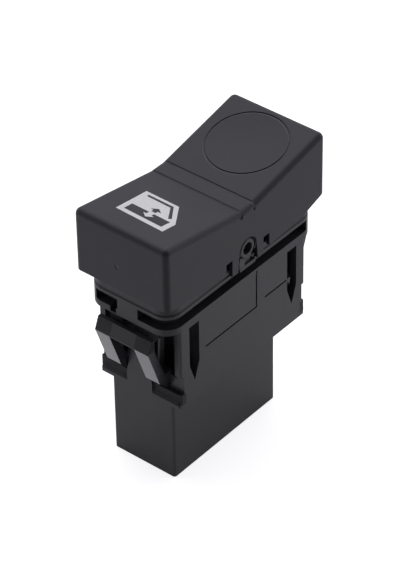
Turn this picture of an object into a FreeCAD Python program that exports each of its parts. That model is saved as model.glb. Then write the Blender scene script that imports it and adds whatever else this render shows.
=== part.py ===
import FreeCAD, Part
import math
import os

from FreeCAD import Vector

# Power window switch: a momentary reversing rocker switch that snaps into a panel.
# Millimetres. X runs across the switch, Y along it with the symbol end at -Y, Z up.
# The origin lies on the surface that the connector shroud stands on, under the middle
# of the rocker cap.

# Connector shroud, open at the bottom
shroud_half_width = 8.05
shroud_front = 19.55
shroud_rear = 13.15
shroud_wall = 1.3
shroud_height = 19.75
shroud_corner = 0.6
floor_thickness = 3.6
floor_rise = 2.1

# Switch body above the shroud
body_half_width = 10.6
body_half_length = 19.9
body_height = 19.8
body_wall = 1.6
body_corner = 0.5
chamber_half_width = 7.3
chamber_half_length = 12.8
pocket_wall = 1.2
pocket_floor = 1.8

# Flange on the panel, with the groove that runs round its edge
flange_half_width = 10.75
flange_half_length = 23.3
flange_corner = 4.0
lip_thickness = 1.5
groove_height = 2.5
groove_depth = 1.9
top_lip_thickness = 1.0
lip_chamfer = 0.25
collar_half_width = 10.5
collar_half_length = 23.05
collar_wall = 0.9
collar_low_rise = 0.65
collar_rise = 0.1
tab_half_width = 2.6
post_x = 8.4
post_y = 20.3

# Side wall slots and score lines
slot_spacing = 15.6
slot_half_width = 1.5
slot_height = 14.2
slot_tip = 4.4
slot_top_drop = 0.6
slot_depth = 1.5
score_width = 0.4
score_drop = 8.6
score_step = 0.8
score_end_gap = 2.0
score_break = 2.9
score_offset = 3.9
score_depth = 0.45
score_top_gap = 0.6

# Snap latches at both ends
locator_half_width = 5.05
locator_reach = 22.7
locator_height = 4.4
notch_half_width = 1.95
notch_top_drop = 0.1
bar_half_width = 6.9
leg_inner = 3.25
nose_reach = 25.4
nose_drop = 2.8
bar_top_reach = 24.3
bar_inner_reach = 23.4
bar_height = 3.0
latch_gap = 1.5
root_reach = 22.1
root_drop = 9.4
root_height = 2.1
arm_thickness = 1.6
pillar_reach = 20.4
pillar_half_width = 3.3
pillar_top_half = 1.9
sill_height = 1.1
sill_rise = 2.3
sill_set_back = 0.6
window_rise = 3.4
window_top_gap = 0.3
ledge_rise = 1.2
pillar_taper_length = 7.0
corner_set_back = 0.95
rib_low = 4.0
rib_high = 4.75
rib_width = 0.6
rib_set_back = 0.3

# Rocker cap
cap_half_width = 11.8
cap_half_length = 24.9
cap_wall = 1.0
cap_top_wall = 1.6
cap_edge = 1.3
skirt_gap = 0.85
finger_gap = 0.25
skirt_rise = 0.1
rear_skirt_rise = 0.06
rear_skirt_straight = 16.9
rear_skirt_end_rise = 2.4
cap_valley_rise = 13.97
front_slope = 9.65
rear_slope = 11.86
strip_front = 2.2
strip_rear = 1.8
strip_rise = 0.36
crease_front_radius = 0.5
crease_rear_radius = 0.34
crease_depth = 0.2
crease_notch_depth = 0.25
crease_notch_drop = 1.6
dish_radius = 8.5
dish_offset = 14.1
dish_depth = 0.5
dish_ring_width = 0.3
dish_ring_depth = 0.2
lip_mark_rise = 0.3
lip_mark_near = 3.0
lip_mark_far = 4.5

# Pivot between the cap and the two ears of the body
pivot_y = 0.0
pivot_rise = 4.45
valley_offset = 0.3
ear_half_width = 2.4
ear_hole = 1.35
pin_clearance = 0.06
ear_gap = 0.3
ear_outer = 11.7
ear_thickness = 2.2
ear_chamfer = 0.4
ear_neck = 0.95
ear_foot_rise = 0.65
ear_foot_slope = 0.8
web_thickness = 1.2
web_gap = 0.25
web_half_length = 3.4
web_drop = 2.6
pin_end_gap = 1.15
under_top = 0.8
relief_offset = 5.85
relief_half_width = 0.95
relief_height = 3.5
rocker_travel = 6.0
slot_flare_low = 41.0

# Contact system
circuit_offset = 4.2
contact_spacing = 7.2
blade_half_width = 1.9
blade_overhang = 1.3
blade_thickness = 0.5
blade_corner = 0.8
blade_height = 31.0
tip_radius = 1.1
tip_height = 0.6
contact_gap = 0.85
terminal_width = 2.8
terminal_thickness = 0.8
terminal_reach = 11.0
terminal_lead = 0.25
pad_length = 3.2
seat_gap = 0.05

# Plungers that tip the contact blades
plunger_radius = 1.3
plunger_nose = 0.55
plunger_clearance = 0.08
tube_wall = 0.8
plunger_length = 11.5
tube_height = 38.5
bore_roof_drop = 2.85
plunger_gap = 0.1
spring_wire = 0.36
plunger_spring_gap = 0.1
plunger_spring_turns = 6
coil_steps = 14
wire_sides = 5

# Return springs under the two paddles
return_spacing = 8.1
return_spring_radius = 1.6
return_wire = 0.42
return_turns = 6
post_radius = 1.05
post_base_radius = 2.1
post_base_height = 36.0
post_pin_length = 4.0
spring_seat_gap = 0.2
slope_allowance = 0.4
spigot_length = 3.0

# Lamp behind the symbol
lamp_y = -11.4
lamp_half_width = 1.6
lamp_half_length = 1.4
lamp_height = 2.4
lamp_top = 43.6
lamp_strip_width = 2.0
lens_radius = 1.15
lens_height = 0.9
shelf_rise = 1.2
strip_drop = 0.6
guide_half_width = 6.3
guide_end_gap = 5.1
guide_spring_gap = 0.09
guide_thickness = 3.0

# How far a cut runs past the surface that it opens, and a fused piece into its neighbour
cut_margin = 1.0
fuse_overlap = 0.1

# Derived levels
floor_top = shroud_height + floor_rise
body_bottom = shroud_height
flange_under = body_bottom + body_height
groove_bottom = flange_under + lip_thickness
groove_top = groove_bottom + groove_height
flange_top = groove_top + top_lip_thickness
socket_roof = floor_top - floor_thickness
latch_top = flange_under - latch_gap
pivot_height = flange_top + pivot_rise
cap_valley = flange_top + cap_valley_rise
guide_front = cap_half_length - guide_end_gap
guide_rear = return_spacing - pivot_y + return_spring_radius + return_wire / 2 + guide_spring_gap


def box(x0, x1, y0, y1, z0, z1):
    return Part.makeBox(x1 - x0, y1 - y0, z1 - z0, Vector(x0, y0, z0))


def prism_x(points, x0, x1):
    # closed outline in the YZ plane, run along X
    corners = [Vector(x0, y, z) for y, z in points]
    face = Part.Face(Part.makePolygon(corners + [corners[0]]))
    return face.extrude(Vector(x1 - x0, 0, 0))


def prism_y(points, y0, y1):
    # closed outline in the XZ plane, run along Y
    corners = [Vector(x, y0, z) for x, z in points]
    face = Part.Face(Part.makePolygon(corners + [corners[0]]))
    return face.extrude(Vector(0, y1 - y0, 0))


def vertical_edges(solid):
    found = []
    for edge in solid.Edges:
        ends = [v.Point for v in edge.Vertexes]
        if len(ends) == 2 and abs(ends[0].x - ends[1].x) < 1e-6:
            if abs(ends[0].y - ends[1].y) < 1e-6:
                found.append(edge)
    return found


def rounded_block(half_x, half_y, radius, z0, z1):
    block = box(-half_x, half_x, -half_y, half_y, z0, z1)
    return block.makeFillet(radius, vertical_edges(block))


def mirror_y(shape):
    # the same form at the other end of the switch
    return shape.mirror(Vector(0, 0, 0), Vector(0, 1, 0))


def mirror_x(shape):
    return shape.mirror(Vector(0, 0, 0), Vector(1, 0, 0))


def turned(shape):
    # half a turn about the vertical axis
    return shape.rotated(Vector(0, 0, 0), Vector(0, 0, 1), 180)


def save(name, shape):
    shape.exportStep("parts/" + name + ".step")
    print(name, len(shape.Solids), round(shape.Volume, 2), shape.isValid())


# One end latch, for the -Y end: a crossbar on two sprung legs rooted low in the body
def latch_end():
    nose_z = latch_top - nose_drop
    root_z = nose_z - root_drop
    root_low = root_z - root_height
    bar_low = latch_top - bar_height
    slope = (nose_reach - root_reach) / (nose_z - root_z)
    bar_low_reach = nose_reach - slope * (nose_z - bar_low)
    leg = [
        (-bar_top_reach, latch_top),
        (-nose_reach, nose_z),
        (-root_reach, root_z),
        (-body_half_length, root_low),
        (-body_half_length + body_wall, root_low),
        (-body_half_length + body_wall, root_z + arm_thickness),
        (-root_reach + arm_thickness, root_z + arm_thickness),
        (-bar_inner_reach, bar_low),
        (-bar_inner_reach, latch_top),
    ]
    bar = [
        (-bar_top_reach, latch_top),
        (-nose_reach, nose_z),
        (-bar_low_reach, bar_low),
        (-bar_inner_reach, bar_low),
        (-bar_inner_reach, latch_top),
    ]
    left = prism_x(leg, -bar_half_width, -leg_inner)
    right = prism_x(leg, leg_inner, bar_half_width)
    cross = prism_x(bar, -bar_half_width, bar_half_width)
    return left.fuse([right, cross])


# Collar inside the skirt, its top a shallow V like the lower edge of the skirt
def collar():
    low_top = flange_top + collar_low_rise
    end_top = low_top + collar_rise * collar_half_length
    inset = flange_half_width - collar_half_width
    block = rounded_block(
        collar_half_width, collar_half_length, flange_corner - inset, flange_top - lip_chamfer, end_top
    )
    over = prism_x(
        [
            (0, low_top),
            (collar_half_length + cut_margin, end_top + collar_rise),
            (collar_half_length + cut_margin, end_top + 5 * cut_margin),
            (-collar_half_length - cut_margin, end_top + 5 * cut_margin),
            (-collar_half_length - cut_margin, end_top + collar_rise),
        ],
        -2 * collar_half_width, 2 * collar_half_width,
    )
    block = block.cut(over)
    hollow = rounded_block(
        collar_half_width - collar_wall, collar_half_length - collar_wall,
        flange_corner - inset - collar_wall, flange_top - 2 * lip_chamfer, end_top + cut_margin,
    )
    return block.cut(hollow)


# Housing: shroud, body, flange, latches and pivot ears in one moulding
def housing():
    shroud = box(
        -shroud_half_width, shroud_half_width,
        -shroud_front, shroud_rear,
        0, body_bottom + 0.5,
    )
    shroud = shroud.makeFillet(shroud_corner, vertical_edges(shroud))
    body = box(
        -body_half_width, body_half_width,
        -body_half_length, body_half_length,
        body_bottom, groove_bottom,
    )
    body = body.makeFillet(body_corner, vertical_edges(body))
    lower_lip = rounded_block(
        flange_half_width, flange_half_length, flange_corner, flange_under, groove_bottom
    )
    rim = rounded_block(
        flange_half_width, flange_half_length, flange_corner, groove_bottom, flange_top
    )
    top_edges = []
    for edge in rim.Edges:
        if all(abs(v.Z - flange_top) < 1e-6 for v in edge.Vertexes):
            top_edges.append(edge)
    rim = rim.makeChamfer(lip_chamfer, top_edges)
    solid = shroud.fuse([body, lower_lip, rim, collar()])

    # locating blocks under the flange, which fit the ends of the panel cut-out
    locator = box(
        -locator_half_width, locator_half_width,
        -locator_reach, -body_half_length + body_wall,
        flange_under - locator_height, flange_under,
    )
    # upright pillar between the latch legs
    pillar_low = body_bottom
    sill_top = body_bottom + sill_height
    pillar_points = [
        (-pillar_half_width, pillar_low),
        (pillar_half_width, pillar_low),
        (pillar_half_width, sill_top + sill_rise),
        (pillar_top_half, sill_top + sill_rise + pillar_taper_length),
        (-pillar_top_half, sill_top + sill_rise + pillar_taper_length),
        (-pillar_half_width, sill_top + sill_rise),
    ]
    pillar = prism_y(pillar_points, -pillar_reach, -body_half_length + body_wall)
    # sill below the windows, with its sloping upper side
    sill = prism_x(
        [
            (-pillar_reach, body_bottom),
            (-pillar_reach, sill_top),
            (-body_half_length + corner_set_back, sill_top + sill_rise),
            (-body_half_length + body_wall, sill_top + sill_rise),
            (-body_half_length + body_wall, body_bottom),
        ],
        -body_half_width + sill_set_back, body_half_width - sill_set_back,
    )
    for piece in (locator, pillar, sill):
        solid = solid.fuse([piece, mirror_y(piece)])

    # end pockets that give the latches room, open through two windows and a notch
    window_low = sill_top + sill_rise + window_rise
    pocket = box(
        -body_half_width + body_wall, body_half_width - body_wall,
        -body_half_length + body_wall, -chamber_half_length - pocket_wall,
        body_bottom + pocket_floor, flange_under,
    )
    window = box(
        pillar_half_width, body_half_width - body_wall,
        -body_half_length - cut_margin, -body_half_length + body_wall,
        window_low, flange_under - window_top_gap,
    )
    ledge_cut = box(
        pillar_half_width, body_half_width + cut_margin,
        -body_half_length - cut_margin, -body_half_length + corner_set_back,
        sill_top + sill_rise, window_low + ledge_rise,
    )
    upper_window = box(
        -pillar_half_width, pillar_half_width,
        -body_half_length - 0.01, -body_half_length + body_wall,
        sill_top + sill_rise + pillar_taper_length, flange_under - notch_top_drop,
    )
    centre_notch = box(
        -notch_half_width, notch_half_width,
        -locator_reach - cut_margin, -body_half_length + body_wall,
        flange_under - locator_height - cut_margin, flange_under - notch_top_drop,
    )
    cuts = []
    for cut in (pocket, window, mirror_x(window), ledge_cut, mirror_x(ledge_cut),
                upper_window, centre_notch):
        cuts.append(cut)
        cuts.append(mirror_y(cut))
    solid = solid.cut(cuts)
    # the locating blocks stay whole behind the latches, and a slanted rib parts each window
    rib = prism_y(
        [
            (rib_low, sill_top),
            (rib_low + rib_width, sill_top),
            (rib_high + rib_width, flange_under + fuse_overlap),
            (rib_high, flange_under + fuse_overlap),
        ],
        -body_half_length + rib_set_back, -body_half_length + body_wall,
    )
    for piece in (locator.cut(centre_notch), rib, mirror_x(rib)):
        solid = solid.fuse([piece, mirror_y(piece)])
    latch = latch_end()
    solid = solid.fuse([latch, mirror_y(latch)])

    # contact chamber, open at the top
    chamber = box(
        -chamber_half_width, chamber_half_width,
        -chamber_half_length, chamber_half_length,
        floor_top, flange_top + cut_margin,
    )
    # plug socket, open at the bottom
    socket = box(
        -shroud_half_width + shroud_wall, shroud_half_width - shroud_wall,
        -shroud_front + shroud_wall, shroud_rear - shroud_wall,
        -1.0, socket_roof,
    )
    solid = solid.cut([chamber, socket])

    # groove round the flange, closed by a tab at each end and by two corner posts
    outer = rounded_block(
        flange_half_width + cut_margin, flange_half_length + cut_margin, flange_corner + cut_margin,
        groove_bottom, groove_top,
    )
    core = rounded_block(
        flange_half_width - groove_depth, flange_half_length - groove_depth,
        flange_corner - groove_depth, groove_bottom - fuse_overlap, groove_top + fuse_overlap,
    )
    far = flange_half_length + 2 * cut_margin
    tab = box(-tab_half_width, tab_half_width, -far, far, groove_bottom - fuse_overlap, groove_top + fuse_overlap)
    post = box(-far, -post_x, -far, -post_y, groove_bottom - fuse_overlap, groove_top + fuse_overlap)
    groove = outer.cut([core, tab, post, turned(post)])
    solid = solid.cut(groove)

    # small mark that leads down from the groove
    mark = box(
        -lip_mark_far, -lip_mark_near, -far, -flange_half_length + groove_depth,
        flange_under + lip_mark_rise, groove_bottom + fuse_overlap,
    )
    solid = solid.cut([mark, turned(mark)])

    # slots and score lines in the long sides
    side_cuts = []
    slot_low = flange_under - slot_top_drop - slot_height
    x_in = body_half_width - slot_depth
    x_out = body_half_width + cut_margin
    for centre in (-slot_spacing, slot_spacing):
        outline = [
            (centre - slot_half_width, flange_under - slot_top_drop),
            (centre + slot_half_width, flange_under - slot_top_drop),
            (centre + slot_half_width, slot_low + slot_tip),
            (centre, slot_low),
            (centre - slot_half_width, slot_low + slot_tip),
        ]
        side_cuts.append(prism_x(outline, x_in - body_wall, x_out))
    score_in = body_half_width - score_depth
    score_y = pivot_y + score_offset
    score_z = flange_under - score_drop
    side_cuts.append(box(score_in, x_out, score_y, score_y + score_width, score_z, groove_bottom - score_top_gap))
    side_cuts.append(box(
        score_in, x_out, -slot_spacing + slot_half_width + score_end_gap, score_y + score_width,
        score_z, score_z + score_width,
    ))
    side_cuts.append(box(
        score_in, x_out, score_y + score_break, slot_spacing - slot_half_width,
        score_z + score_step, score_z + score_step + score_width,
    ))
    both = []
    for cut in side_cuts:
        both.append(cut)
        both.append(turned(cut))
    solid = solid.cut(both)

    # hollow ears that carry the rocker: a ring on a neck that narrows down to a broad foot
    ear_low = flange_top - top_lip_thickness
    ear_inner = ear_outer - ear_thickness
    foot = prism_y(
        [
            (ear_inner, ear_low),
            (flange_half_width, ear_low),
            (ear_outer, ear_low + ear_foot_slope),
            (ear_outer, flange_top + ear_foot_rise),
            (ear_inner, flange_top + ear_foot_rise),
        ],
        pivot_y - ear_half_width, pivot_y + ear_half_width,
    )
    neck_low = flange_top + ear_foot_rise
    neck_length = pivot_height - neck_low
    reach = math.hypot(ear_neck, neck_length)
    turn = math.acos(ear_half_width / reach) - math.atan2(neck_length, ear_neck)
    touch_y = ear_half_width * math.cos(turn)
    touch_z = pivot_height + ear_half_width * math.sin(turn)
    neck = prism_x(
        [
            (pivot_y - ear_neck, flange_top),
            (pivot_y + ear_neck, flange_top),
            (pivot_y + ear_neck, neck_low),
            (pivot_y + touch_y, touch_z),
            (pivot_y - touch_y, touch_z),
            (pivot_y - ear_neck, neck_low),
        ],
        ear_inner, ear_outer - ear_chamfer,
    )
    disc = Part.makeCylinder(
        ear_half_width, ear_thickness - ear_chamfer,
        Vector(ear_inner, pivot_y, pivot_height), Vector(1, 0, 0),
    )
    rim_ring = Part.makeCone(
        ear_half_width, ear_half_width - ear_chamfer, ear_chamfer,
        Vector(ear_outer - ear_chamfer, pivot_y, pivot_height), Vector(1, 0, 0),
    )
    hole = Part.makeCylinder(
        ear_hole, ear_thickness + 2 * cut_margin,
        Vector(ear_outer - ear_thickness - cut_margin, pivot_y, pivot_height), Vector(1, 0, 0),
    )
    ear = foot.fuse([neck, disc, rim_ring]).cut(hole)
    solid = solid.fuse([ear, mirror_x(ear)])

    # spring posts on the chamber floor
    for side in (-1, 1):
        y = pivot_y + side * return_spacing
        base = Part.makeCylinder(post_base_radius, post_base_height - floor_top, Vector(0, y, floor_top))
        pin = Part.makeCylinder(post_radius, post_pin_length, Vector(0, y, post_base_height))
        solid = solid.fuse([base, pin])

    # slits for the terminals
    slits = []
    for x in (-circuit_offset, circuit_offset):
        for y in terminal_places():
            slits.append(box(
                x - terminal_width / 2, x + terminal_width / 2,
                y - terminal_thickness / 2, y + terminal_thickness / 2,
                socket_roof - cut_margin, floor_top + cut_margin,
            ))
    solid = solid.cut(slits)
    return solid.removeSplitter()


def terminal_places():
    return (lamp_y, pivot_y - contact_spacing, pivot_y, pivot_y + contact_spacing)


# Rocker cap: skirted shell with a shallow V top, pivot pins and plunger tubes
def front_top(y):
    return cap_valley + math.tan(math.radians(front_slope)) * (valley_y() - y)


def rear_top(y):
    return cap_valley + math.tan(math.radians(rear_slope)) * (y - valley_y())


def valley_y():
    return pivot_y + valley_offset


def top_at(y):
    return rear_top(y) if y > valley_y() else front_top(y)


def half_block(half_x, half_y, drop, low, radius, rear):
    split = valley_y()
    side = 1 if rear else -1
    top = rear_top if rear else front_top
    end = side * half_y
    over = split - side * 5.0
    points = [(end, low), (over, low), (over, top(over) - drop), (end, top(end) - drop)]
    block = prism_x(points, -half_x, half_x)
    if radius > 0:
        chosen = []
        for edge in block.Edges:
            middle = edge.CenterOfMass
            high = middle.z > low + 2 * cut_margin
            at_split = abs(middle.y - over) < 1e-6
            if high and not at_split:
                chosen.append(edge)
        block = block.makeFillet(radius, chosen)
    keep = box(-50, 50, split if rear else -50, 50 if rear else split, low - cut_margin, 100)
    return block.common(keep)


def cap():
    low = flange_top - 1.5
    outer = half_block(cap_half_width, cap_half_length, 0, low, cap_edge, False)
    outer = outer.fuse(half_block(cap_half_width, cap_half_length, 0, low, cap_edge, True))
    inner_x = cap_half_width - cap_wall
    inner_y = cap_half_length - cap_wall
    inner = half_block(inner_x, inner_y, cap_top_wall, low - cut_margin, 0, False)
    inner = inner.fuse(half_block(inner_x, inner_y, cap_top_wall, low - cut_margin, 0, True))
    # level strip that fills the valley, with a crease along each side of it
    strip = box(
        -cap_half_width, cap_half_width, valley_y() - strip_front, valley_y() + strip_rear,
        low, cap_valley + strip_rise,
    )
    strip_edges = []
    for edge in strip.Edges:
        middle = edge.CenterOfMass
        if middle.z > cap_valley and abs(middle.y - valley_y()) < 1.0:
            strip_edges.append(edge)
    strip = strip.makeFillet(cap_edge, strip_edges)
    outer = outer.fuse(strip).removeSplitter()
    creases = []
    for offset, radius in ((-strip_front, crease_front_radius), (strip_rear, crease_rear_radius)):
        creases.append(Part.makeCylinder(
            radius, 3 * cap_half_width,
            Vector(-1.5 * cap_half_width, valley_y() + offset,
                   cap_valley + strip_rise - crease_depth + radius),
            Vector(1, 0, 0),
        ))
        # the crease runs over the edge of the cap and a little way down its side
        for side in (-1, 1):
            creases.append(Part.makeCylinder(
                radius, crease_notch_drop + cut_margin,
                Vector(side * (cap_half_width - crease_notch_depth + radius), valley_y() + offset,
                       cap_valley + strip_rise - crease_notch_drop),
            ))
    shell = outer.cut([inner] + creases)

    # lower edge of the skirt: a shallow V that comes level with the flange at full travel,
    # with two short fingers beside the ears
    base = flange_top + skirt_gap
    finger = flange_top + finger_gap
    finger_end = relief_offset - relief_half_width
    bend_z = base + rear_skirt_rise * rear_skirt_straight
    under = prism_x(
        [
            (pivot_y - finger_end, finger),
            (pivot_y + finger_end, finger),
            (pivot_y + finger_end, base + rear_skirt_rise * finger_end),
            (rear_skirt_straight, bend_z),
            (cap_half_length, bend_z + rear_skirt_end_rise),
            (cap_half_length + 5 * cut_margin, bend_z + rear_skirt_end_rise),
            (cap_half_length + 5 * cut_margin, low - 5 * cut_margin),
            (-cap_half_length - 5 * cut_margin, low - 5 * cut_margin),
            (-cap_half_length - 5 * cut_margin, base + skirt_rise * cap_half_length),
            (-cap_half_length, base + skirt_rise * cap_half_length),
            (pivot_y - finger_end, base + skirt_rise * finger_end),
        ],
        -2 * cap_half_width, 2 * cap_half_width,
    )
    shell = shell.cut(under)

    # slots for the ears, wider below for the swing of the cap, and relief slots beside them
    cuts = []
    slot_half = ear_half_width + ear_gap
    for side in (-1, 1):
        x0 = side * (cap_half_width + cut_margin)
        x1 = side * (inner_x - 0.5)
        lo, hi = min(x0, x1), max(x0, x1)
        flare = math.tan(math.radians(rocker_travel)) * (pivot_height - slot_flare_low)
        cuts.append(prism_x(
            [
                (pivot_y - slot_half, pivot_height),
                (pivot_y + slot_half, pivot_height),
                (pivot_y + slot_half + flare, slot_flare_low),
                (pivot_y - slot_half - flare, slot_flare_low),
            ],
            lo, hi,
        ))
        cuts.append(Part.makeCylinder(
            slot_half, hi - lo, Vector(lo, pivot_y, pivot_height), Vector(1, 0, 0)
        ))
        for offset in (-relief_offset, relief_offset):
            y = pivot_y + offset
            cuts.append(box(
                lo, hi, y - relief_half_width, y + relief_half_width,
                low - 5 * cut_margin, base + relief_height,
            ))
    shell = shell.cut(cuts)

    # inner webs with the pivot pins
    web_out = ear_outer - ear_thickness - web_gap
    web_in = web_out - web_thickness
    pieces = []
    web = box(
        web_in, web_out,
        pivot_y - web_half_length, pivot_y + web_half_length,
        pivot_height - web_drop, cap_valley - under_top,
    )
    pin = Part.makeCylinder(
        ear_hole - pin_clearance, ear_thickness + web_gap - pin_end_gap,
        Vector(web_out, pivot_y, pivot_height), Vector(1, 0, 0),
    )
    pieces += [web, mirror_x(web), pin, mirror_x(pin)]
    # plunger tubes
    bore = plunger_radius + plunger_clearance
    for x in (-circuit_offset, circuit_offset):
        pieces.append(Part.makeCylinder(
            bore + tube_wall, cap_valley - under_top - tube_height, Vector(x, pivot_y, tube_height)
        ))
    # spigots that hold the return springs
    for side in (-1, 1):
        y = pivot_y + side * return_spacing
        pieces.append(Part.makeCylinder(
            post_radius, spigot_length + under_top,
            Vector(0, y, top_at(y) - cap_top_wall - spigot_length),
        ))
    shell = shell.fuse(pieces)
    bores = []
    for x in (-circuit_offset, circuit_offset):
        bores.append(Part.makeCylinder(
            bore, cap_valley - bore_roof_drop - tube_height + cut_margin,
            Vector(x, pivot_y, tube_height - cut_margin),
        ))
    shell = shell.cut(bores)

    # round finger dish in the rear paddle
    tilt = math.radians(rear_slope)
    reach = dish_offset
    centre = Vector(0, valley_y() + reach, rear_top(valley_y() + reach))
    normal = Vector(0, -math.sin(tilt), math.cos(tilt))
    sphere_radius = (dish_radius ** 2 + dish_depth ** 2) / (2 * dish_depth)
    sphere = Part.makeSphere(sphere_radius, centre + normal * (sphere_radius - dish_depth))
    shell = shell.cut(sphere.common(Part.makeCylinder(dish_radius, 3.0, centre - normal, normal)))
    ring = Part.makeCylinder(dish_radius + dish_ring_width, 1.0 + dish_ring_depth,
                             centre - normal * dish_ring_depth, normal)
    ring = ring.cut(Part.makeCylinder(dish_radius, 3.0, centre - normal, normal))
    return shell.cut(ring).removeSplitter()


def coil(radius, wire, height, turns, x, y, z):
    # wire wound between two levels, its section carried round in even steps
    middle = radius - wire / 2
    count = turns * coil_steps
    sections = []
    for step in range(count + 1):
        angle = 2 * math.pi * step / coil_steps
        level = z + wire / 2 + (height - wire) * step / count
        corners = []
        for side in range(wire_sides):
            turn = 2 * math.pi * (side + 0.5) / wire_sides
            reach = middle + wire / 2 * math.cos(turn)
            corners.append(Vector(
                x + reach * math.cos(angle),
                y + reach * math.sin(angle),
                level + wire / 2 * math.sin(turn),
            ))
        sections.append(Part.makePolygon(corners + [corners[0]]))
    return Part.makeLoft(sections, True, True)


def terminal(x, y, top):
    half_w = terminal_width / 2
    half_t = terminal_thickness / 2
    tip = socket_roof - terminal_reach
    blade = box(x - half_w, x + half_w, y - half_t, y + half_t, tip, top)
    lead = []
    for edge in blade.Edges:
        if abs(edge.CenterOfMass.z - tip) < 1e-6:
            lead.append(edge)
    return blade.makeChamfer(terminal_lead, lead)


def contact_terminal(x, y):
    # straight blade with a level pad that carries the fixed contact tip
    top = blade_height - tip_height - contact_gap - tip_height
    blade = terminal(x, y, top)
    half_w = terminal_width / 2
    pad = box(
        x - half_w, x + half_w, y - pad_length / 2, y + pad_length / 2,
        top - terminal_thickness, top,
    )
    return blade.fuse(pad).removeSplitter()


def centre_terminal(x):
    # the top edge is rounded, and the contact blade rocks on it
    half_t = terminal_thickness / 2
    axis_z = blade_height - seat_gap - half_t
    blade = terminal(x, pivot_y, axis_z)
    ridge = Part.makeCylinder(
        half_t, terminal_width, Vector(x - terminal_width / 2, pivot_y, axis_z), Vector(1, 0, 0)
    )
    return blade.fuse(ridge).removeSplitter()


def contact_blade(x):
    half = contact_spacing + blade_overhang
    strip = box(
        x - blade_half_width, x + blade_half_width,
        pivot_y - half, pivot_y + half,
        blade_height, blade_height + blade_thickness,
    )
    return strip.makeFillet(blade_corner, vertical_edges(strip))


def tip(x, y, z):
    return Part.makeCylinder(tip_radius, tip_height, Vector(x, y, z))


def lamp_terminal(side):
    # blade, then a narrow strip up to the lamp and a foot against its side
    x = side * circuit_offset
    blade = terminal(x, lamp_y, floor_top + shelf_rise + lamp_strip_width)
    half_t = terminal_thickness / 2
    strip_in = lamp_half_width
    strip_out = lamp_half_width + terminal_thickness
    shelf = box(
        min(side * strip_in, side * (circuit_offset + terminal_width / 2)),
        max(side * strip_in, side * (circuit_offset + terminal_width / 2)),
        lamp_y - half_t, lamp_y + half_t,
        floor_top + shelf_rise, floor_top + shelf_rise + lamp_strip_width,
    )
    strip = box(
        min(side * strip_in, side * strip_out), max(side * strip_in, side * strip_out),
        lamp_y - lamp_strip_width / 2, lamp_y + lamp_strip_width / 2,
        floor_top + shelf_rise, lamp_top - strip_drop,
    )
    return blade.fuse([shelf, strip]).removeSplitter()


def lamp():
    base = box(
        -lamp_half_width, lamp_half_width,
        lamp_y - lamp_half_length, lamp_y + lamp_half_length,
        lamp_top - lamp_height, lamp_top,
    )
    lens = Part.makeCylinder(lens_radius, lens_height, Vector(0, lamp_y, lamp_top))
    return base.fuse(lens).removeSplitter()


def light_guide():
    # clear block under the symbol, seated against the inside of the front paddle
    points = [
        (-guide_front, front_top(-guide_front) - cap_top_wall),
        (-guide_rear, front_top(-guide_rear) - cap_top_wall),
        (-guide_rear, front_top(-guide_rear) - cap_top_wall - guide_thickness),
        (-guide_front, front_top(-guide_front) - cap_top_wall - guide_thickness),
    ]
    return prism_x(points, -guide_half_width, guide_half_width)


def main():
    os.makedirs("parts", exist_ok=True)
    save("housing", housing())
    save("rocker_cap", cap())
    save("light_guide", light_guide())
    bore_roof = cap_valley - bore_roof_drop
    plunger_low = blade_height + blade_thickness + plunger_gap
    spring_low = plunger_low + plunger_length
    fixed_top = blade_height - tip_height - contact_gap
    for word, side in (("left", -1), ("right", 1)):
        x = side * circuit_offset
        rod = Part.makeCylinder(plunger_radius, plunger_length - plunger_radius,
                                Vector(x, pivot_y, plunger_low + plunger_radius))
        nose = Part.makeCone(plunger_nose, plunger_radius, plunger_radius,
                             Vector(x, pivot_y, plunger_low))
        save("plunger_" + word, rod.fuse(nose).removeSplitter())
        height = bore_roof - spring_low
        save("plunger_spring_" + word,
             coil(plunger_radius - plunger_spring_gap, spring_wire, height, plunger_spring_turns,
                  x, pivot_y, spring_low))
        save("contact_blade_" + word, contact_blade(x))
        tips = []
        for end in (-1, 1):
            tips.append(tip(x, pivot_y + end * contact_spacing, blade_height - tip_height))
        save("moving_tips_" + word, Part.makeCompound(tips))
        save("terminal_centre_" + word, centre_terminal(x))
        save("terminal_front_" + word, contact_terminal(x, pivot_y - contact_spacing))
        save("terminal_rear_" + word, contact_terminal(x, pivot_y + contact_spacing))
        save("lamp_terminal_" + word, lamp_terminal(side))
    fixed = []
    for x in (-circuit_offset, circuit_offset):
        for end in (-1, 1):
            fixed.append(tip(x, pivot_y + end * contact_spacing, fixed_top - tip_height))
    save("fixed_tips", Part.makeCompound(fixed))
    save("lamp", lamp())
    for word, end in (("front", -1), ("rear", 1)):
        y = pivot_y + end * return_spacing
        height = top_at(y) - cap_top_wall - spring_seat_gap - slope_allowance - post_base_height
        save("return_spring_" + word,
             coil(return_spring_radius + return_wire, return_wire, height, return_turns,
                  0, y, post_base_height))


main()
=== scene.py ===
import math

import bmesh
import bpy
from mathutils import Matrix, Vector


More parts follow.
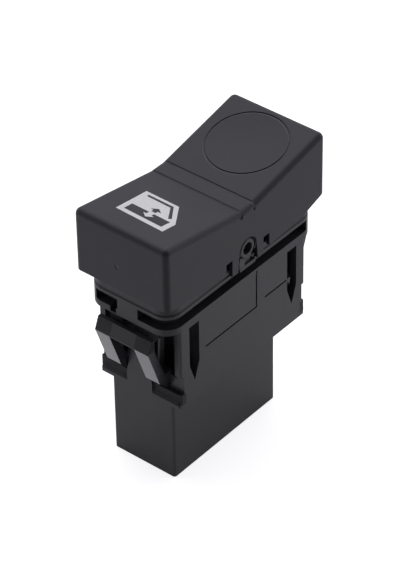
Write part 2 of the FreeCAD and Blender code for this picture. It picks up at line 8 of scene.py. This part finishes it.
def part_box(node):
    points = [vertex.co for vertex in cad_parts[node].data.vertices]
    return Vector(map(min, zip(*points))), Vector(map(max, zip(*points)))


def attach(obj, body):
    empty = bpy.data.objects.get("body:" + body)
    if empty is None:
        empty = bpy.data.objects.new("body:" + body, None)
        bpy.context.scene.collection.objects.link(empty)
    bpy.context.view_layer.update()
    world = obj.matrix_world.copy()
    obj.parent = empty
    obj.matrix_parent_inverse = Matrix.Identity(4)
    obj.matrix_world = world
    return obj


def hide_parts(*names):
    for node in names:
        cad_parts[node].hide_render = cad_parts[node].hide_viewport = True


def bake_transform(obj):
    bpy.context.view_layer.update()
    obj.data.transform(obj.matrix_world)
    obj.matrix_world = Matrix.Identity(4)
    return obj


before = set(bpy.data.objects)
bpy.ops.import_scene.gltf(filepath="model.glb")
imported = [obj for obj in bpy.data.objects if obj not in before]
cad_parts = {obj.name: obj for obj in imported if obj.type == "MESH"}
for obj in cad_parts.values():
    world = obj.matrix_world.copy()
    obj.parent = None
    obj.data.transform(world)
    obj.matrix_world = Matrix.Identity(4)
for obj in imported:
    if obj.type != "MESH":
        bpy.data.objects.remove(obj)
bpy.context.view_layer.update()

# Housing. One black moulding in glass-filled nylon: plug shroud, body, flange, latches
# and pivot ears. It comes from a steel tool with a satin spark finish, so it is
# smoother than the cap. The outer face of each latch leg is polished.
housing_edge = 0.00012
bar_face, bar_floor = 0.0236, 0.0353
leg_inner = 0.0031
sill_face, sill_inner = 0.0184, 0.0034
sill_floor, sill_top = 0.0206, 0.0234
ramp_lean, ramp_face = 0.35106, 0.012975
ramp_floor, ramp_top = 0.0255, 0.03505
ridge_height, ridges_per_metre = 0.00014, 7000.0


class Value:
    """A number socket that can stand in an expression."""

    def __init__(self, nodes, socket):
        self.nodes = nodes
        self.socket = socket

    def __add__(self, other):
        return self.nodes.maths("ADD", self, other)

    def __radd__(self, other):
        return self.nodes.maths("ADD", other, self)

    def __sub__(self, other):
        return self.nodes.maths("SUBTRACT", self, other)

    def __rsub__(self, other):
        return self.nodes.maths("SUBTRACT", other, self)

    def __mul__(self, other):
        return self.nodes.maths("MULTIPLY", self, other)

    def __rmul__(self, other):
        return self.nodes.maths("MULTIPLY", other, self)

    def __gt__(self, other):
        return self.nodes.maths("GREATER_THAN", self, other)

    def __lt__(self, other):
        return self.nodes.maths("LESS_THAN", self, other)

    def __abs__(self):
        return self.nodes.maths("ABSOLUTE", self, 0.0)


class Nodes:
    """The shader nodes of one material, or of the world."""

    def __init__(self, tree):
        self.tree = tree

    def add(self, kind, settings=None, sockets=None, output=0):
        node = self.tree.nodes.new(kind)
        for key, value in (settings or {}).items():
            if key == "stops":
                ramp = node.color_ramp.elements
                for place, (position, colour) in enumerate(value):
                    if place > 1:
                        ramp.new(position)
                    ramp[place].position = position
                    ramp[place].color = (*colour, 1.0)
            else:
                setattr(node, key, value)
        for key, value in (sockets or {}).items():
            self.join(value, node.inputs[key])
        return Value(self, node.outputs[output])

    def maths(self, operation, first, second):
        return self.add("ShaderNodeMath", {"operation": operation}, {0: first, 1: second})

    def join(self, value, socket):
        if isinstance(value, Value):
            self.tree.links.new(value.socket, socket)
        else:
            socket.default_value = value


class Finish(Nodes):
    """A material under construction, with its Principled shader ready."""

    def __init__(self, name, **constants):
        self.material = bpy.data.materials.new(name)
        self.material.use_nodes = True
        super().__init__(self.material.node_tree)
        self.shader = self.tree.nodes["Principled BSDF"]
        self.set(**constants)

    def set(self, **sockets):
        for socket, value in sockets.items():
            self.join(value, self.shader.inputs[socket.replace("_", " ")])

    def place(self):
        return self.add("ShaderNodeTexCoord", output="Object")

    def axis(self, name):
        return self.add("ShaderNodeSeparateXYZ", sockets={"Vector": self.place()}, output=name)

    def stretched(self, x, y, z):
        return self.add("ShaderNodeMapping", sockets={"Vector": self.place(), "Scale": (x, y, z)})

    def noise(self, scale, detail=2.0, vector=None):
        return self.add(
            "ShaderNodeTexNoise",
            sockets={"Vector": vector or self.place(), "Scale": scale, "Detail": detail},
        )

    def tone(self, factor, *colours):
        stops = list(zip((0.3, 0.7, 1.0), colours))
        return self.add("ShaderNodeValToRGB", {"stops": stops}, {"Fac": factor})

    def bump(self, height, depth):
        return self.add("ShaderNodeBump", sockets={"Height": height, "Distance": depth})


moulded = Finish("moulded_nylon", IOR=1.5, Coat_Roughness=0.12, Coat_IOR=1.78)
cloud = moulded.noise(190.0, 3.0)
spark = moulded.noise(7000.0)
flow = moulded.noise(260.0, 2.0, moulded.stretched(1.0, 1.0, 0.12))
x, y, z = (moulded.axis(name) for name in "XYZ")
# fine ridges run across the ends of both crossbars and along the sills
bar_end = (abs(y) > bar_face) * (abs(x) > leg_inner) * (z > bar_floor)
sill = (abs(y) > sill_face) * (abs(x) > sill_inner) * (z > sill_floor) * (z < sill_top)
ridged = bar_end + sill
ridge = moulded.maths("PINGPONG", z, ridge_height) * ridges_per_metre
# a ramp is polished so that it slides past the panel's edge
ramp = (abs(y) - z * ramp_lean > ramp_face) * (abs(x) > leg_inner)
ramp = ramp * (z < ramp_top) * (z > ramp_floor)
moulded.set(
    Base_Color=moulded.tone(cloud, (0.026, 0.025, 0.029), (0.033, 0.032, 0.037)),
    Roughness=0.28 + cloud * 0.08 + flow * 0.06 + spark * 0.06 + ridged * 0.25,
    Coat_Weight=ramp,
    Normal=moulded.bump((spark + flow * 0.5) * 0.000012 + ridge * ridged * ridge_height, 1.0),
)


def copied(node, name, finish):
    # the node's own form, merged so that its faces can share their shading
    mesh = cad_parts[node].data.copy()
    form = bmesh.new()
    form.from_mesh(mesh)
    bmesh.ops.remove_doubles(form, verts=form.verts, dist=0.000002)
    bmesh.ops.dissolve_limit(
        form, angle_limit=math.radians(0.4), verts=form.verts, edges=form.edges
    )
    for face in form.faces:
        face.smooth = True
    form.to_mesh(mesh)
    form.free()
    mesh.materials.clear()
    mesh.materials.append(finish.material)
    piece = bpy.data.objects.new(name, mesh)
    bpy.context.scene.collection.objects.link(piece)
    return piece


def softened(node, body, name, width, finish):
    # the moulding itself, with the small radius that a tool leaves along its edges
    piece = copied(node, name, finish)
    bevel = piece.modifiers.new("edge radius", "BEVEL")
    bevel.width = width
    bevel.segments = 2
    bevel.limit_method = "ANGLE"
    bevel.angle_limit = math.radians(28)
    bevel.use_clamp_overlap = True
    evened = piece.modifiers.new("face normals", "WEIGHTED_NORMAL")
    evened.weight = 100
    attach(piece, body)
    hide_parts(node)


softened("housing", "base", "housing_moulding", housing_edge, moulded)

# Rocker cap. A skirted shell in black ABS blend with a fine even grain, moulded as one
# with its pivot pins and plunger tubes.
cap_edge = 0.00010
front_face = -0.0245
gate_x, gate_z = -0.0009, 0.0534
gate_narrowing, gate_squared, gate_depth = 2.2, 0.0000005, 500.0
dish_y, dish_shortening = 0.0141, 1.044
groove_inner_squared, groove_outer_squared = 0.0000722, 0.0000774
rear_crease, crease_half_width = 0.0021, 0.00030
cap_top = 0.0575
grained = Finish("grained_abs", IOR=1.5)
cloud = grained.noise(160.0)
grain = grained.noise(4200.0, 3.0)
x, y, z = (grained.axis(name) for name in "XYZ")
# the gate left a small oval dimple in the front face
from_gate = (x - gate_x) * (x - gate_x) * gate_narrowing + (z - gate_z) * (z - gate_z)
dimple = grained.maths("MAXIMUM", gate_squared - from_gate, 0.0)
dimple = dimple * (y < front_face) * gate_depth
# painted light: the groove round the finger dish and the rear crease are painted a little paler
# than the top, to lift the shade that falls in them
from_dish = x * x + (y - dish_y) * (y - dish_y) * dish_shortening
groove = (from_dish > groove_inner_squared) * (from_dish < groove_outer_squared)
painted_crease_light = (groove + (abs(y - rear_crease) < crease_half_width)) * (z > cap_top)
# painted light: the palest stop is reached only in the groove and the rear crease
grained.set(
    Base_Color=grained.tone(
        cloud + painted_crease_light, (0.016, 0.015, 0.021), (0.022, 0.021, 0.028), (0.055, 0.054, 0.061)
    ),
    Roughness=0.38 + cloud * 0.06 + grain * 0.10,
    Normal=grained.bump(grain * 0.000018 - dimple, 1.0),
)
softened("rocker_cap", "rocker", "rocker_cap_moulding", cap_edge, grained)

# Hinge trim. The cap's wall has a lip close round the upper part of each ear's ring, and
# the ear's neck has a gusset on one side that fills the lower corner of the cut in the cap.
pivot_level = 0.049
lip_radii = (0.0028, 0.00248)
lip_start, lip_turn, lip_steps = math.radians(-30), math.radians(228), 22
lip_inner, lip_depth = 0.0109, 0.00072
gusset_inner, gusset_depth = 0.0106, 0.00106
gusset_outline = [
    (-0.00095, 0.04515), (-0.0026, 0.04515), (-0.0026, 0.0467),
    (-0.00225, 0.04775), (-0.0019, 0.0475), (-0.00095, 0.0468),
]


def thickened(form, depth):
    raised = bmesh.ops.extrude_face_region(form, geom=form.faces[:])
    grown = [part for part in raised["geom"] if isinstance(part, bmesh.types.BMVert)]
    bmesh.ops.translate(form, verts=grown, vec=depth)


def fitted(form, name, body, finish):
    bmesh.ops.recalc_face_normals(form, faces=form.faces)
    mesh = bpy.data.meshes.new(name)
    form.to_mesh(mesh)
    form.free()
    mesh.materials.append(finish.material)
    piece = bpy.data.objects.new(name, mesh)
    bpy.context.scene.collection.objects.link(piece)
    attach(piece, body)


for side, word in ((1, "right"), (-1, "left")):
    # the left side is the right one after half a turn
    lip = bmesh.new()
    for radius in lip_radii:
        rise = pivot_level + radius * math.sin(lip_start)
        lip.verts.new((lip_inner, radius * math.cos(lip_start), rise))
    lip.edges.new(lip.verts)
    bmesh.ops.spin(
        lip, geom=lip.verts[:] + lip.edges[:], cent=(0, 0, pivot_level), axis=(1, 0, 0),
        angle=lip_turn, steps=lip_steps,
    )
    thickened(lip, (lip_depth, 0, 0))
    bmesh.ops.scale(lip, verts=lip.verts, vec=(side, side, 1))
    fitted(lip, "ear_lining_" + word, "rocker", grained)

    gusset = bmesh.new()
    gusset.faces.new([gusset.verts.new((gusset_inner, y, z)) for y, z in gusset_outline])
    thickened(gusset, (gusset_depth, 0, 0))
    bmesh.ops.scale(gusset, verts=gusset.verts, vec=(side, side, 1))
    fitted(gusset, "ear_gusset_" + word, "base", moulded)

# Window symbol. White ink printed on the front paddle: a door window with its glass half
# down and an arrow each way. The dark fields are the bare cap showing through.
paddle_slope = math.tan(math.radians(9.65))
paddle_level = 0.058571
ink_depth = 0.00001
ink_proud, field_proud = 0.00001, 0.000025
millimetre = 0.001
ink_outlines = [[(-6.1, -18.7), (6.03, -19.1), (6.05, -15.2), (2.05, -9.3), (-6.35, -9.2)]]
field_outlines = [
    [(-5.1, -10.05), (1.35, -10.1), (4.2, -14.1), (3.6, -14.5), (1.15, -10.8), (-4.95, -10.7)],
    [(-4.95, -17.6), (-5.0, -15.1), (-0.65, -15.15), (-0.65, -16.0), (-1.4, -16.0),
     (0.0, -17.1), (1.4, -16.05), (0.65, -16.0), (0.65, -15.2), (4.75, -15.25), (4.7, -17.85)],
    [(-0.55, -14.6), (0.5, -14.6), (0.5, -13.9), (1.3, -13.9), (0.0, -12.85), (-1.3, -13.9),
     (-0.55, -13.9)],
]
ink = Finish("white_ink", IOR=1.5)
mottle = ink.noise(900.0, 3.0)
ink.set(
    Base_Color=ink.tone(mottle, (0.87, 0.87, 0.86), (0.94, 0.94, 0.93)),
    Roughness=0.42 + mottle * 0.12,
    Normal=ink.bump(ink.noise(4200.0, 3.0), 0.00001),
)
for name, outlines, proud, finish in (
    ("symbol_white", ink_outlines, ink_proud, ink),
    ("symbol_dark", field_outlines, field_proud, grained),
):
    film = bmesh.new()
    for outline in outlines:
        corners = []
        for x, y in outline:
            x, y = x * millimetre, y * millimetre
            z = paddle_level - paddle_slope * y + proud
            corners.append(film.verts.new((x, y, z)))
        film.faces.new(corners)
    thickened(film, (0, 0, ink_depth))
    fitted(film, name, "rocker", finish)

# Light guide. A clear block behind the symbol that carries the lamp's light, moulded in
# polycarbonate with polished faces and held up inside the front paddle.
clear = Finish("clear_polycarbonate", IOR=1.58, Transmission_Weight=1.0)
clear.set(
    Base_Color=(0.93, 0.95, 0.96, 1.0),
    Roughness=0.05 + clear.noise(900.0) * 0.05,
    Normal=clear.bump(clear.noise(300.0), 0.00001),
)


def dress(node, finish):
    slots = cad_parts[node].data.materials
    slots.clear()
    slots.append(finish.material)


dress("light_guide", clear)

# Plungers. Pins in natural acetal with a round nose, left smooth by their tool. They
# slide in the cap's tubes and tip the contact strips.
acetal = Finish("natural_acetal", IOR=1.48)
haze = acetal.noise(1500.0)
acetal.set(
    Base_Color=acetal.tone(haze, (0.66, 0.65, 0.6), (0.74, 0.73, 0.69)),
    Roughness=0.35 + haze * 0.1,
    Normal=acetal.bump(haze, 0.000008),
)
for side in ("left", "right"):
    dress("plunger_" + side, acetal)

# Springs. Drawn spring wire, two small ones behind the plungers and two larger ones
# under the paddles.
wire = Finish("spring_wire", Metallic=1.0)
drawn = wire.noise(6000.0)
wire.set(
    Base_Color=wire.tone(drawn, (0.42, 0.42, 0.43), (0.58, 0.58, 0.59)),
    Roughness=0.28 + drawn * 0.12,
    Normal=wire.bump(drawn, 0.000006),
)
for node, below, above in (
    ("plunger_spring_left", "plunger_left", "rocker"),
    ("plunger_spring_right", "plunger_right", "rocker"),
    ("return_spring_front", "base", "rocker"),
    ("return_spring_rear", "base", "rocker"),
):
    low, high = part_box(node)
    x, y = (low[0] + high[0]) / 2, (low[1] + high[1]) / 2
    coil = copied(node, node + "_coil", wire)
    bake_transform(coil)
    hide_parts(node)

# Contact strips, terminals and tips. Rolled and stamped copper alloys with silver tips;
# the rolling marks run along the strip.
copper = Finish("rolled_copper", Metallic=1.0)
rolled = copper.noise(2500.0, 2.0, copper.stretched(1.0, 0.06, 1.0))
copper.set(
    Base_Color=copper.tone(rolled, (0.62, 0.34, 0.21), (0.78, 0.46, 0.3)),
    Roughness=0.26 + rolled * 0.14,
    Normal=copper.bump(rolled, 0.000006),
)
brass = Finish("stamped_brass", Metallic=1.0)
rolled = brass.noise(2500.0, 2.0, brass.stretched(1.0, 1.0, 0.06))
stain = brass.noise(350.0, 3.0)
brass.set(
    Base_Color=brass.tone(stain * 0.6 + rolled * 0.4, (0.6, 0.45, 0.22), (0.76, 0.6, 0.33)),
    Roughness=0.24 + rolled * 0.14 + stain * 0.06,
    Normal=brass.bump(rolled, 0.000006),
)
silver = Finish("contact_silver", Metallic=1.0)
pits = silver.noise(5000.0)
silver.set(
    Base_Color=silver.tone(pits, (0.72, 0.71, 0.69), (0.83, 0.82, 0.8)),
    Roughness=0.3 + pits * 0.15,
    Normal=silver.bump(pits, 0.000006),
)
for side in ("left", "right"):
    dress("contact_blade_" + side, copper)
    dress("moving_tips_" + side, silver)
    for strip in ("terminal_centre_", "terminal_front_", "terminal_rear_", "lamp_terminal_"):
        dress(strip + side, brass)
dress("fixed_tips", silver)

# Lamp. A small block of cast resin with a round lens, under the light guide, between
# the two strips that feed it.
resin = Finish("cast_resin", IOR=1.52)
milk = resin.noise(1800.0)
resin.set(
    Base_Color=resin.tone(milk, (0.78, 0.76, 0.66), (0.86, 0.85, 0.78)),
    Roughness=0.22 + milk * 0.08,
    Normal=resin.bump(milk, 0.000006),
)
dress("lamp", resin)

# Photographer's table: a white floor that keeps the switch's shadow. Seen directly it is
# white; on the camera's side its colour is darkened with painted shade, seen only in the switch's
# reflections.
floor_gap = 0.00003
beside_switch = 0.01
camera_x, camera_y = 0.643, 0.766
reflection_shade_near, reflection_shade_far = 0.045, 0.085
floor_white, reflection_shade_depth = 0.86, 0.7
seen_lift, mirrored_lift = 0.75, 0.16
bpy.ops.mesh.primitive_plane_add(size=3.0, location=(0, 0, -floor_gap))
floor = bpy.context.object
floor.name = "studio_floor"
paper = Finish("white_paper", Roughness=0.9, Specular_IOR_Level=0.0)
seen, mirrored, through = (
    paper.add("ShaderNodeLightPath", output=ray)
    for ray in ("Is Camera Ray", "Is Glossy Ray", "Is Transmission Ray")
)
nearness = paper.axis("X") * camera_x - paper.axis("Y") * camera_y
painted_reflection_shade = paper.add(
    "ShaderNodeMapRange",
    {"interpolation_type": "SMOOTHSTEP"},
    {
        "Value": nearness, "From Min": reflection_shade_near, "From Max": reflection_shade_far,
        "To Min": 0.0, "To Max": reflection_shade_depth,
    },
)
# painted shade: the floor's colour is darker on the camera's side for glossy rays only
paper.set(Base_Color=floor_white - mirrored * (paper.axis("X") > beside_switch) * painted_reflection_shade)
glow = seen * seen_lift + (mirrored + through) * mirrored_lift
lift = paper.add("ShaderNodeEmission", sockets={"Color": glow})
both = paper.add(
    "ShaderNodeAddShader", sockets={0: Value(paper, paper.shader.outputs[0]), 1: lift}
)
paper.join(both, paper.tree.nodes["Material Output"].inputs["Surface"])
floor.data.materials.append(paper.material)

# Light. A white tent all round, brightest overhead and open towards the camera, which
# leaves that side dark. Seen directly, the tent is plain white.
azimuth = math.radians(39.98)
height = math.radians(38.13)
tent_level, tent_overhead = 0.70, 1.9
opening_level, opening_edge, opening_core = 0.12, 0.1, 0.65
backdrop_level = 1.05
towards = Vector((
    math.sin(azimuth) * math.cos(height),
    -math.cos(azimuth) * math.cos(height),
    math.sin(height),
))
world = bpy.data.worlds.new("white_tent")
bpy.context.scene.world = world
world.use_nodes = True
tent = Nodes(world.node_tree)
direction = tent.add("ShaderNodeTexCoord", output="Generated")
facing = tent.add(
    "ShaderNodeVectorMath", {"operation": "DOT_PRODUCT"}, {0: direction, 1: towards}, "Value"
)
opening = tent.add(
    "ShaderNodeMapRange",
    {"interpolation_type": "SMOOTHSTEP"},
    {
        "Value": facing, "From Min": opening_edge, "From Max": opening_core,
        "To Min": 1.0, "To Max": opening_level,
    },
)
upward = tent.add("ShaderNodeSeparateXYZ", sockets={"Vector": direction}, output="Z")
strength = opening * (tent.maths("POWER", upward, 4.0) * tent_overhead + tent_level)
direct = tent.add("ShaderNodeLightPath", output="Is Camera Ray")
shown = tent.add(
    "ShaderNodeMix", {"data_type": "FLOAT"}, {0: direct, 2: strength, 3: backdrop_level}
)
background = world.node_tree.nodes["Background"]
tent.join(shown, background.inputs["Strength"])
tent.join((1.0, 0.985, 1.06, 1.0), background.inputs["Color"])

# Camera, where the photograph was taken from.
photo_width, photo_height = 400, 570
focal_pixels = 3050.17
middle_x, middle_y = 203.66, 285.99
distance = 0.61873
target = Vector((0.0, 0.0002, 0.0337))
roll = math.radians(0.98)
right = Vector((math.cos(azimuth), math.sin(azimuth), 0.0))
up = towards.cross(right)
across = right * math.cos(roll) - up * math.sin(roll)
above = right * math.sin(roll) + up * math.cos(roll)
lens = bpy.data.cameras.new("camera")
lens.sensor_width = 36.0
lens.lens = focal_pixels / photo_height * lens.sensor_width
lens.shift_x = -(middle_x - photo_width / 2) / photo_height
lens.shift_y = (middle_y - photo_height / 2) / photo_height
lens.clip_start = 0.05
lens.clip_end = 10.0
camera = bpy.data.objects.new("camera", lens)
bpy.context.scene.collection.objects.link(camera)
turn = Matrix((across, above, towards)).transposed()
camera.matrix_world = Matrix.Translation(target + towards * distance) @ turn.to_4x4()
bpy.context.scene.camera = camera
bpy.context.scene.view_settings.view_transform = "Standard"
